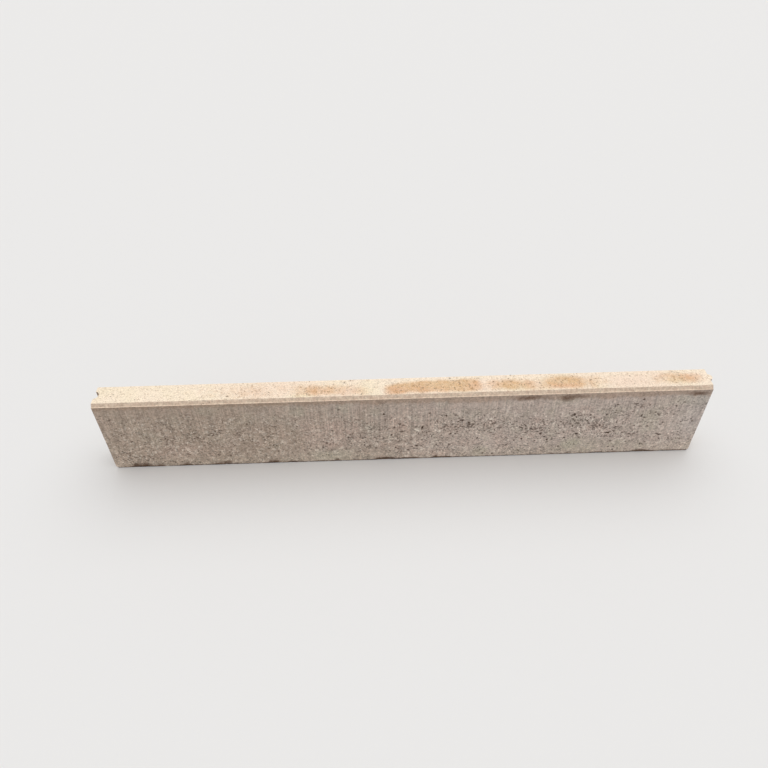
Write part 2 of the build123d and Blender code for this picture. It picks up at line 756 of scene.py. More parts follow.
    def round_foot_corners(self, stone: bmesh.types.BMesh) -> None:
        """Rounds the two lower corners, which are knocked off in handling.

        Args:
            stone: the mesh.
        """
        for facing, radius in self.corner_radius.items():
            toward = facing.outward.x
            end = self.sizes.end_at(toward)
            for vert in stone.verts:
                out = (vert.co.x - (end - toward * radius)) * toward
                down = radius - vert.co.z
                if abs(vert.co.y) >= self.sizes.groove_half_width:
                    back = rounding(out, down)
                    vert.co.x -= toward * out * back
                    vert.co.z += down * back

    def wear_foot(self, stone: bmesh.types.BMesh) -> None:
        """Rounds the two long arrises of the base unevenly, as they crumble when it is set down.

        Args:
            stone: the mesh.
        """
        for vert in stone.verts:
            x, y, z = vert.co
            radius = self.foot_wear.at(Vector((x, math.copysign(self.apart, y), 0)))
            out = radius - (self.sizes.half_width - abs(y))
            down = radius - z
            back = rounding(out, down)
            vert.co.y -= math.copysign(out * back, y)
            vert.co.z += down * back

    def wear_uprights(self, stone: bmesh.types.BMesh) -> None:
        """Rounds the four upright arrises of the ends unevenly.

        Args:
            stone: the mesh.
        """
        s = self.sizes
        for vert in stone.verts:
            x, y, z = vert.co
            if abs(y) >= s.bevel_head and z <= s.ledge_height:
                near = s.end_at(x)
                radius = self.upright_wear.at(Vector((near, math.copysign(self.apart, y), z)))
                out = radius - abs(near - x)
                beside = radius - (s.half_width - abs(y))
                back = rounding(out, beside)
                vert.co.x -= math.copysign(out * back, x)
                vert.co.y -= math.copysign(beside * back, y)

    def hollows(self) -> Iterator[Hollow]:
        """The voids and chips that the photograph shows, and others where it shows none."""
        yield from SeenMarks(self.sizes).hollows()
        yield from SeededMarks(self.sizes, random.Random(self.seed)).hollows()

    def settled(self, hollow: Hollow) -> Hollow:
        """The hollow moved in to where the weathered surface will be."""
        at, out = Vector(hollow.at), hollow.facing.outward
        return replace(hollow, at=tuple(at - out * self.inward(at, out)))

    def refine(self, stone: bmesh.types.BMesh, hollows: list[Hollow]) -> None:
        """Divides the faces at each hollow, until its wall has enough of them.

        Args:
            stone: the mesh.
            hollows: the voids and chips to come.
        """
        for _ in range(self.refine_rounds):
            stone.edges.ensure_lookup_table()
            middles = finder([(e.index, (e.verts[0].co + e.verts[1].co) / 2) for e in stone.edges])
            chosen = set()
            for hollow in hollows:
                enough = self.wall_cell * sorted(hollow.half)[1]
                reach = hollow.reach * self.refine_reach
                for place, index, _ in middles.find_range(hollow.centre, reach):
                    edge = stone.edges[index]
                    if edge.calc_length() > enough and hollow.share(place)[0] < self.wall_reach:
                        chosen.add(edge)
            bmesh.ops.subdivide_edges(stone, edges=list(chosen), cuts=1, use_grid_fill=True)
            stone.verts.index_update()
            stone.edges.index_update()
        many = [face for face in stone.faces if len(face.verts) > 4]
        bmesh.ops.triangulate(stone, faces=many, quad_method="BEAUTY", ngon_method="BEAUTY")

    def weather(self, stone: bmesh.types.BMesh) -> None:
        """Gives the faces their uneven surface and takes the edge off the arrises.

        Args:
            stone: the mesh.
        """
        stone.normal_update()
        worn = {
            vert: 1.0
            for edge in stone.edges
            if edge.is_manifold and edge.calc_face_angle_signed() > self.worn_angle
            for vert in edge.verts
        }
        for vert in list(worn):
            for edge in vert.link_edges:
                if edge.calc_length() < self.beside_arris:
                    worn.setdefault(edge.other_vert(vert), self.beside_wear)
        moves = []
        for vert in stone.verts:
            room = self.wear_room * min(edge.calc_length() for edge in vert.link_edges)
            moves.append((vert, self.inward(vert.co, vert.normal, worn.get(vert, 0.0), room)))
        for vert, depth in moves:
            vert.co -= vert.normal * depth

    def inward(self, place: Vector, normal: Vector, wear: float = 0.0, room: float = 0.0) -> float:
        """How far the real surface lies inside the pressed shape.

        Args:
            place: a point of the pressed shape.
            normal: its outward normal.
            wear: 1 on an arris, less beside it and 0 on a face.
            room: the most that wear may take, so that the surface doesn't fold.

        Returns:
            The depth in millimetres.
        """
        depth = sum(deep * swell(place, size) for size, deep in self.waves)
        if normal.z < -self.straight_on:
            size, deep = self.base_wave
            over = depth + deep * swell(place, size) - self.base_level
            return self.base_share * max(0.0, over)
        closed, more = self.grain_depth
        depth += (closed + more * self.weathering.openness(place)) * swell(place, self.grain)
        if abs(normal.y) > self.straight_on:
            width, length = self.drag
            drawn = Vector((place.x / width, self.drag_slice, place.z / length))
            depth += self.drag_depth * ramp(place.z, *self.drag_zone) * swell(drawn, 1)
        if place.z < self.foot_zone:
            least = self.foot_share
            depth *= least + (1 - least) * ramp(place.z, 0, self.foot_zone)
        if wear:
            foot, crown = self.crisp_rims
            crisp = place.z < foot or place.z > self.sizes.ledge_height - crown
            taken = wear * self.arris_wear.at(place) * (self.crisp_share if crisp else 1.0)
            depth += min(room, taken)
        return depth

    def carve(self, stone: bmesh.types.BMesh, hollows: list[Hollow]) -> None:
        """Pushes the surface back to the wall of each hollow, and notes how deep it went.

        Args:
            stone: the mesh.
            hollows: the voids and chips.
        """
        layer = stone.verts.layers.float[HOLLOW]
        stone.verts.ensure_lookup_table()
        places = finder([(vert.index, vert.co) for vert in stone.verts])
        for hollow in hollows:
            for _, index, _ in places.find_range(hollow.centre, hollow.reach * self.carve_reach):
                vert = stone.verts[index]
                share, direction = hollow.share(vert.co)
                if share >= 1:
                    continue
                wall = hollow.wall_point(direction)
                sunk = (vert.co - wall).dot(hollow.facing.outward)
                vert.co = wall
                # The deeper a point sinks, the darker it is drawn: grime in the hollow and painted
                # shade
                dirt_and_shade = hollow.shade * min(1.0, max(0.0, sunk) / self.dirt_and_shade_depth)
                vert[layer] = max(vert[layer], dirt_and_shade)

    def keep_in_box(self, stone: bmesh.types.BMesh) -> None:
        """Keeps every point inside the solid's own box.

        Args:
            stone: the mesh.
        """
        s = self.sizes
        for vert in stone.verts:
            vert.co.x = min(max(vert.co.x, s.groove_face), s.tongue_tip)
            vert.co.y = min(max(vert.co.y, -s.half_width), s.half_width)
            vert.co.z = min(max(vert.co.z, 0.0), s.height)

    def iron(self, stone: bmesh.types.BMesh) -> None:
        """Smooths the few places where the surface folds back on itself.

        Args:
            stone: the mesh.
        """
        faces = stone.faces[:]
        bmesh.ops.triangulate(stone, faces=faces, quad_method="BEAUTY", ngon_method="BEAUTY")
        for _ in range(self.iron_rounds):
            folded = {
                vert
                for edge in stone.edges
                if edge.is_manifold and edge.calc_face_angle() > self.fold
                for vert in edge.verts
            }
            bmesh.ops.smooth_vert(
                stone,
                verts=list(folded),
                factor=0.5,
                use_axis_x=True,
                use_axis_y=True,
                use_axis_z=True,
            )


@dataclass
class SeenMarks:
    """The marks of the front face, the top and the foot, read from the photograph.

    A void is its place along and up, half its length and height, and its lean in degrees. A speck
    of the top is its place along and across, its half-sizes and how dark it is. A chip of the foot
    is its place along, half its length and its height. Faint patches are where the voids are drawn
    less dark, with less grime and painted shade, and over paler_zone they come down to paler_share
    of that darkness towards the grooved end. A void's depth is a least one and a share of its
    size, and a chip's middle and half-size shares of its height.
    """

    sizes: StoneSizes
    voids: tuple[tuple[float, float, float, float, float], ...] = (
        (-492, 72, 2.2, 1.5, 0), (-479, 18, 2.4, 1.2, 0), (-468, 28.5, 2.2, 1.2, 0),
        (-472, 11, 1.4, 1.6, 0), (-467, 13, 1.6, 1.2, 70), (-431, 20, 3.8, 1.5, 45),
        (-402, 12, 2.4, 1.2, 0), (-426, 69, 1.6, 0.9, 0), (-399, 70, 1.1, 2.2, 0),
        (-392, 103, 1.5, 1.0, 0), (-350, 100, 1.8, 1.6, 0), (-361, 121, 3.2, 1.0, 45),
        (-350, 67, 1.4, 2.2, 0), (-344, 69, 1.6, 1.4, 40), (-335, 66, 1.9, 2.0, 0),
        (-370, 31, 2.2, 1.2, 0), (-366, 28, 1.6, 1.5, 0), (-394, 29, 2.0, 1.0, 0),
        (-347, 79, 1.0, 1.5, 0), (-296, 107, 2.9, 1.3, 55), (-298, 134, 1.0, 1.5, 0),
        (-268, 109, 1.5, 1.1, 0), (-305, 85, 2.4, 1.1, 30), (-308, 81, 1.2, 2.0, 0),
        (-320, 78, 4.2, 1.0, 0), (-317, 75, 1.0, 2.2, 0), (-258, 97, 0.9, 3.6, 0),
        (-236, 84, 2.2, 1.2, 20), (-229, 82, 2.6, 1.1, 0), (-222, 85, 1.0, 2.0, 0),
        (-186, 77, 1.3, 1.3, 0), (-235, 58.5, 3.2, 1.5, 0), (-218, 72, 1.5, 1.5, 0),
        (-333, 29, 1.0, 1.8, 0), (-295, 28, 1.4, 1.0, 0), (-245, 31, 1.6, 1.1, 0),
        (-214, 29, 1.6, 1.1, 20), (-323, 61, 1.4, 1.4, 0), (-146, 34, 5.0, 1.1, -8),
        (-137, 36, 1.8, 1.5, 30), (-143, 29, 1.0, 4.0, 0), (-90, 57, 5.0, 1.1, 0),
        (-69, 56, 5.4, 1.2, 0), (-64, 57, 1.2, 1.6, 0), (-48, 57, 2.2, 1.6, 0),
        (-44, 45, 1.5, 2.0, 0), (-57, 35, 1.7, 1.3, 0), (-46, 30, 1.0, 2.0, 0),
        (-19.5, 61, 3.4, 1.2, 65), (-5, 87, 1.3, 1.7, 0), (-1, 84, 2.4, 1.1, 0),
        (-60, 91, 1.5, 1.1, 0), (-47, 89, 1.1, 1.6, 0), (-51, 93, 1.2, 2.0, 0),
        (-32, 111, 1.8, 2.2, 0), (-120, 77, 1.3, 1.1, 0), (-105, 124, 3.4, 1.0, -15),
        (-13, 30, 2.0, 1.8, 40), (-9, 27, 1.6, 1.2, 0), (-79, 11, 3.0, 1.1, -10),
        (-61, 9, 2.6, 1.3, 0), (-129, 16, 1.6, 1.6, 0), (8, 23, 1.5, 1.9, 0),
        (22, 33, 2.1, 1.9, 0), (32, 77, 4.8, 1.7, 72), (44, 110, 2.4, 1.2, 10),
        (71, 103, 1.9, 1.9, 0), (64, 105, 3.5, 0.9, 0), (51, 60, 1.3, 1.8, 0),
        (48, 55, 1.3, 2.4, 0), (97, 91.5, 4.6, 2.3, 0), (91.5, 88, 2.0, 1.6, 60),
        (93, 96, 1.4, 1.5, 0), (109, 86, 1.7, 1.8, 0), (81, 82.5, 2.3, 1.1, 0),
        (79, 77, 1.0, 2.6, 0), (75, 77, 1.0, 2.0, 0), (70, 77, 1.0, 2.0, 0),
        (70, 69, 1.6, 1.6, 0), (80, 60, 3.2, 1.7, 50), (88, 60, 2.0, 1.6, 0),
        (91, 64, 2.0, 1.1, 40), (126, 47, 2.0, 1.4, 0), (128, 92, 1.7, 1.5, 0),
        (130, 82, 1.4, 2.6, 0), (135, 78, 2.4, 1.1, -35), (141, 74, 3.2, 1.1, -40),
        (143, 70, 1.2, 2.0, 0), (138, 8, 1.2, 1.3, 0), (155, 7, 1.7, 1.5, 40),
        (163, 72, 3.4, 2.2, 20), (154, 67, 1.2, 2.6, 0), (57, 34, 1.0, 1.5, 0),
        (78, 34, 1.1, 1.6, 0), (204, 75.5, 4.8, 1.2, -38), (199, 69, 4.0, 1.2, -40),
        (223, 65, 3.8, 1.5, 5), (230, 67, 2.8, 0.8, 0), (218, 64, 1.5, 1.2, 0),
        (233, 53, 1.8, 2.7, 0), (241, 46, 1.6, 1.2, 0), (246, 38, 2.6, 1.1, -65),
        (225, 37, 1.1, 1.6, 0), (202, 42, 1.2, 2.2, 0), (200, 13, 2.5, 1.3, 0),
        (237, 19, 2.2, 1.2, -20), (268, 20, 1.8, 1.0, 0), (275, 42, 1.9, 1.2, 0),
        (284.5, 97, 3.0, 1.9, -60), (283.5, 85.5, 1.5, 1.8, 0), (287, 81, 1.5, 1.4, 0),
        (288, 90, 0.9, 3.0, 0), (294, 93.5, 2.0, 1.5, 0), (311, 95, 1.9, 2.9, 0),
        (318, 88, 1.0, 3.0, 0), (311, 75, 1.5, 1.7, 0), (308, 81, 1.5, 1.8, 0),
        (338, 95, 1.5, 1.8, 0), (324, 77, 2.0, 1.2, 0), (335, 86, 2.6, 1.0, 0),
        (331, 69, 3.2, 1.4, -50), (322, 64, 1.6, 1.0, 0), (290, 66.5, 2.0, 1.3, 30),
        (285, 70, 1.0, 2.6, 0), (300, 64, 1.6, 1.2, 0), (294, 51, 3.0, 1.3, -10),
        (301, 41, 1.9, 1.0, 0), (348, 51, 5.0, 1.5, 0), (358, 54, 2.2, 1.9, 0),
        (373, 50, 1.9, 1.4, 0), (386, 47, 2.0, 1.0, 0), (390, 66, 2.4, 1.2, 20),
        (358, 77, 1.0, 3.4, 0), (397, 90, 1.8, 1.8, 0), (402, 85, 3.6, 1.1, -40),
        (397, 74.5, 4.4, 0.9, 8), (412, 64, 1.8, 1.6, 0), (381, 100, 2.0, 1.3, 0),
        (380, 117, 2.6, 1.8, 0), (384, 118, 1.5, 1.7, 0), (352, 117, 2.4, 1.3, -20),
        (392, 127, 2.1, 1.6, 0), (405, 113, 1.3, 1.3, 0), (438, 42.5, 4.4, 1.9, -5),
        (440, 32, 1.5, 1.2, 0), (457, 30.5, 3.0, 1.4, 35), (462, 31.5, 1.3, 0.9, 0),
        (463, 38, 0.9, 2.8, 0), (472, 40, 3.2, 1.1, 25), (486, 73, 1.2, 2.0, 0),
        (467, 72, 1.8, 1.0, 0), (438, 72, 1.5, 1.2, 0), (433, 67, 1.8, 0.9, 0),
        (460, 118, 1.3, 1.1, 0), (450, 119, 1.1, 2.6, 0), (450, 110, 1.4, 1.6, 0),
        (476, 119, 1.4, 1.0, 0), (365, 8, 1.9, 1.6, 0), (366, 15, 1.0, 1.3, 0),
        (357, 15.5, 1.2, 1.2, 0), (356, 30, 1.5, 1.4, 0), (384, 27, 2.2, 1.1, 0),
        (410, 21, 1.1, 1.9, 0), (415, 19, 1.5, 1.0, 0),
    )
    specks: tuple[tuple[float, float, float, float, float], ...] = (
        (-283.5, -11.5, 3.2, 1.7, 0.6), (-192, -9, 1.2, 1.0, 0.5), (-160, -10, 1.0, 1.4, 0.6),
        (-158, -6, 1.2, 0.9, 0.5), (-140, 3, 1.2, 1.0, 0.5), (-137, 4, 1.0, 1.2, 0.5),
        (-37, 11, 2.0, 1.2, 0.35), (-41, 8, 1.2, 1.0, 0.3), (64, 2, 1.0, 1.0, 0.4),
        (93, 0, 1.4, 1.1, 0.5), (95, 12, 1.2, 1.2, 0.4), (172, 5, 1.6, 0.9, 0.45),
        (177, 4, 1.2, 0.9, 0.4), (189, -5, 1.3, 1.2, 0.55), (193, -5, 1.2, 1.2, 0.5),
        (192, -1.5, 1.0, 0.9, 0.4), (206, -3, 1.2, 1.2, 0.5), (223, -2, 1.3, 2.2, 0.65),
        (219, -1, 1.0, 1.0, 0.4), (258, -3, 1.8, 0.9, 0.5), (305, -6, 1.4, 1.0, 0.35),
        (325, 4, 1.2, 1.0, 0.35), (452, 6, 1.2, 2.0, 0.4), (437, -8, 1.0, 1.0, 0.4),
        (478, -12, 1.1, 1.4, 0.4),
    )
    faint: tuple[Patch, ...] = patches(
        (-146, 33, 14, 12, 0.15, 0.5), (-72, 50, 34, 16, 0.45, 0.5), (-72, 10, 24, 6, 0.4, 0.5),
        (74, 76, 14, 9, 0.45, 0.6), (150, 76, 32, 22, 0.5, 0.5), (312, 82, 26, 18, 0.25, 0.6),
        (400, 82, 14, 16, 0.3, 0.6), (466, 34, 15, 10, 0.6, 0.5),
    )
    scatters: tuple[Scatter, ...] = (
        Scatter(210, 68, 18, 10, 8), Scatter(300, 80, 30, 18, 12), Scatter(350, 60, 30, 14, 6),
        Scatter(450, 38, 30, 12, 4), Scatter(-325, 78, 26, 14, 3), Scatter(-85, 55, 30, 10, 6),
        Scatter(120, 75, 40, 16, 12), Scatter(410, 92, 34, 18, 4), Scatter(-465, 18, 26, 9, 3),
    )
    chips: tuple[tuple[float, float, float], ...] = (
        (-447, 8, 8.0), (-462, 7, 6.5), (-376, 6, 4.5), (-304, 7, 4.5), (-231, 4, 5.0),
        (-222, 5, 5.5), (-192, 9, 3.4), (-116, 4, 4.0), (-29, 16, 6.5), (-43, 5, 3.6),
        (8, 12, 3.0), (56, 4, 5.0), (66, 12, 3.4), (93, 4, 3.0), (190, 6, 2.2), (260, 4, 2.4),
        (289, 3, 2.6), (340, 11, 3.2), (415, 18, 5.0), (452, 4, 2.4),
    )
    void_depth: tuple[float, float] = (1.2, 0.55)
    void_rough: float = 0.45
    paler_zone: tuple[float, float] = (-250, 0)
    paler_share: float = 0.5
    scattered_sizes: tuple[float, float] = (0.7, 1.7)
    scattered_lengths: tuple[float, float] = (1, 1.9)
    scattered_depth: float = 1.4
    scattered_shade: float = 0.55
    scatter_spread: float = 1.6
    margin: float = 4.0
    speck_depth: float = 1.2
    chip_depth: float = 1.3
    chip_middle: float = 0.35
    chip_half: float = 0.62
    seed: int = 7

    def hollows(self) -> Iterator[Hollow]:
        """Makes the voids, the scattered voids, the specks of the top and the chips in the foot.

        Returns:
            Them all, in that order.
        """
        s, margin = self.sizes, self.margin
        face = -s.half_width
        least, more = self.void_depth
        paler = self.paler_share
        for x, z, half_x, half_z, lean in self.voids:
            half = (half_x, least + more * min(half_x, half_z), half_z)
            # How dark the void is drawn, for grime and painted shade
            shade = paler + (1 - paler) * ramp(x, *self.paler_zone)
            shade *= 1 - max(patch.at(x, z) for patch in self.faint)
            rough = self.void_rough
            yield Hollow((x, face, z), half, Facing.FRONT, rough=rough, lean=lean, shade=shade)
        chance = random.Random(self.seed)
        for patch in self.scatters:
            for _ in range(patch.count):
                x = chance.gauss(patch.x, patch.spread_x / self.scatter_spread)
                z = chance.gauss(patch.z, patch.spread_z / self.scatter_spread)
                size = chance.uniform(*self.scattered_sizes)
                x = min(max(x, s.groove_face + margin), s.tongue_face - margin)
                z = min(max(z, margin), s.ledge_height - margin)
                length = size * chance.uniform(*self.scattered_lengths)
                half = (length, self.scattered_depth * size, size)
                shade = self.scattered_shade
                yield Hollow((x, face, z), half, Facing.FRONT, rough=0.4, shade=shade)
        for x, y, half_x, half_y, shade in self.specks:
            half = (half_x, half_y, self.speck_depth)
            yield Hollow((x, y, s.height), half, Facing.TOP, rough=0.4, shade=shade)
        for x, half_x, up in self.chips:
            at = (x, face, self.chip_middle * up)
            half = (half_x, self.chip_depth, self.chip_half * up)
            yield Hollow(at, half, Facing.FRONT, rough=0.5, shade=0.25)


@dataclass(frozen=True)
class Chips:
    """One kind of chip in a long arris, as it is drawn by chance.

    sizes are the smallest and the largest, with the likeliest behind them where one is. lengths are
    the least and the most that a chip is longer than it is deep.
    """

    count: int
    sizes: tuple[float, ...]
    lengths: tuple[float, float]
    lift: float
    rough: float
    shade: float


@dataclass
class SeededMarks:
    """Marks of the same kinds where the photograph shows no single ones, or doesn't reach."""

    sizes: StoneSizes
    chance: random.Random
    front_voids: int = 60
    back_voids: int = 170
    top_count: int = 26
    end_count: int = 7
    foot: Chips = Chips(46, (0.6, 1.6, 0.8), (1.5, 4.5), 0.3, 0.5, 0.5)
    crown: Chips = Chips(24, (0.6, 1.2), (1.2, 3.0), 0.4, 0.4, 0.35)
    ledge: Chips = Chips(22, (0.6, 1.1), (1.5, 4.0), 0.4, 0.5, 0.35)

    def hollows(self) -> Iterator[Hollow]:
        """Makes all of them, face by face.

        Returns:
            The voids of the faces, and then the chips of the long arrises.
        """
        s = self.sizes
        yield from self.face_voids(Facing.FRONT, self.front_voids)
        yield from self.face_voids(Facing.BACK, self.back_voids)
        yield from self.top_voids()
        yield from self.end_voids(Facing.GROOVE_END)
        yield from self.end_voids(Facing.TONGUE_END)
        for facing in (Facing.FRONT_FOOT, Facing.BACK_FOOT):
            yield from self.arris_chips(facing, s.half_width, 0, self.foot)
        for facing in (Facing.FRONT_CROWN, Facing.BACK_CROWN):
            yield from self.arris_chips(facing, s.bevel_head, s.height, self.crown)
            yield from self.arris_chips(facing, s.half_width, s.ledge_height, self.ledge)

    def along(self, margin: float) -> float:
        """A place along the stone, clear of the ends by a margin."""
        return self.chance.uniform(self.sizes.groove_face + margin, self.sizes.tongue_face - margin)

    def face_voids(self, facing: Facing, count: int) -> Iterator[Hollow]:
        """Makes voids in the front or the back, more of them in the lower two thirds.

        Args:
            facing: the face.
            count: how many.

        Returns:
            The voids.
        """
        face = facing.outward.y * self.sizes.half_width
        shade = 0.55 if facing is Facing.FRONT else 0.8
        for _ in range(count):
            size = self.chance.triangular(0.6, 1.8, 0.8)
            z = self.chance.triangular(5, self.sizes.ledge_height - 6, 48)
            half = (size * self.chance.uniform(1.0, 2.6), 1.4 * size, size)
            lean = self.chance.uniform(-50, 50)
            yield Hollow((self.along(6), face, z), half, facing, rough=0.4, lean=lean, shade=shade)

    def top_voids(self) -> Iterator[Hollow]:
        """Makes small voids in the top, which the press stamp leaves nearly closed.

        Returns:
            The voids.
        """
        reach = self.sizes.bevel_head - 2
        for _ in range(self.top_count):
            size = self.chance.uniform(0.6, 1.1)
            y = self.chance.uniform(-reach, reach)
            at = (self.along(12), y, self.sizes.height)
            yield Hollow(at, (size * 1.3, size, 1.1 * size), Facing.TOP)

    def end_voids(self, facing: Facing) -> Iterator[Hollow]:
        """Makes voids in the flat strips of an end face.

        Args:
            facing: the end.

        Returns:
            The voids.
        """
        s = self.sizes
        end = s.end_at(facing.outward.x)
        for _ in range(self.end_count):
            side = self.chance.choice((-1, 1))
            y = side * self.chance.uniform(s.groove_half_width + 3, s.half_width - 3)
            z = self.chance.uniform(12, s.ledge_height - 8)
            size = self.chance.uniform(0.8, 1.6)
            yield Hollow((end, y, z), (1.3 * size, size * 1.2, size), facing)

    def arris_chips(
        self, facing: Facing, across: float, up: float, chips: Chips
    ) -> Iterator[Hollow]:
        """Makes chips in a long arris.

        Args:
            facing: which way the arris faces.
            across: how far it lies from the middle of the stone.
            up: its height.
            chips: the kind of chip.

        Returns:
            The chips.
        """
        edge = math.copysign(across, facing.outward.y)
        draw = self.chance.triangular if len(chips.sizes) > 2 else self.chance.uniform
        for _ in range(chips.count):
            size = draw(*chips.sizes)
            half = (size * self.chance.uniform(*chips.lengths), size, size)
            at = (self.along(10), edge, up)
            yield Hollow(at, half, facing, chips.lift, chips.rough, shade=chips.shade)


@dataclass(frozen=True)
class Nodes:
    """A node tree that nodes are added to."""

    tree: bpy.types.NodeTree

    def add(
        self,
        kind: str,
        inputs: dict[str | int, object] | tuple[object, ...] = (),
        out: str | int = 0,
        **settings: object,
    ) -> Socket | None:
        """Adds a node, with its settings and links.

        Args:
            kind: the node's type name, without its ShaderNode in front.
            inputs: values for the first sockets in order, or a value for each socket by its name
                or number. An output is linked, and anything else is set.
            out: the name or number of the output that is wanted.
            settings: the node's own properties.

        Returns:
            That output, or None where the node has none.
        """
        node = self.tree.nodes.new("ShaderNode" + kind)
        for name, value in settings.items():
            setattr(node, name, value)
        keyed = inputs if isinstance(inputs, dict) else dict(enumerate(inputs))
        for key, value in keyed.items():
            if isinstance(value, Socket):
                self.tree.links.new(value, node.inputs[key])
            else:
                node.inputs[key].default_value = value
        return node.outputs[out] if node.outputs else None


@dataclass(frozen=True)
class Grains(Nodes):
    """The concrete's node tree, with the outputs that its colour and its relief share.

    place is the place in the stone, along and height two of its axes, and up how far the surface
    faces up. sand, fine and gravel are noises, and tone, pale and dark random values of each grain.
    opened is how open the concrete is.
    """

    place: Socket
    along: Socket
    height: Socket
    up: Socket
    sand: Socket
    fine: Socket
    gravel: Socket
    tone: Socket
    pale: Socket
    dark: Socket
    opened: Socket

    def varied(
        self,
        colour: Socket,
        factor: Socket | float,
        shares: tuple[tuple[Socket, Socket | float], ...],
    ) -> Socket:
        """Makes a colour lighter and darker by several noises.

        Args:
            colour: the colour.
            factor: what the colour is multiplied by where every noise is at its middle.
            shares: each noise with how strongly it works.

        Returns:
            The colour.
        """
        total = factor
        for value, share in shares:
            middle = self.add("Math", (value, 0.5), operation="SUBTRACT")
            total = self.add("Math", (middle, share, total), operation="MULTIPLY_ADD")
        return self.add("VectorMath", {0: colour, "Scale": total}, operation="SCALE")


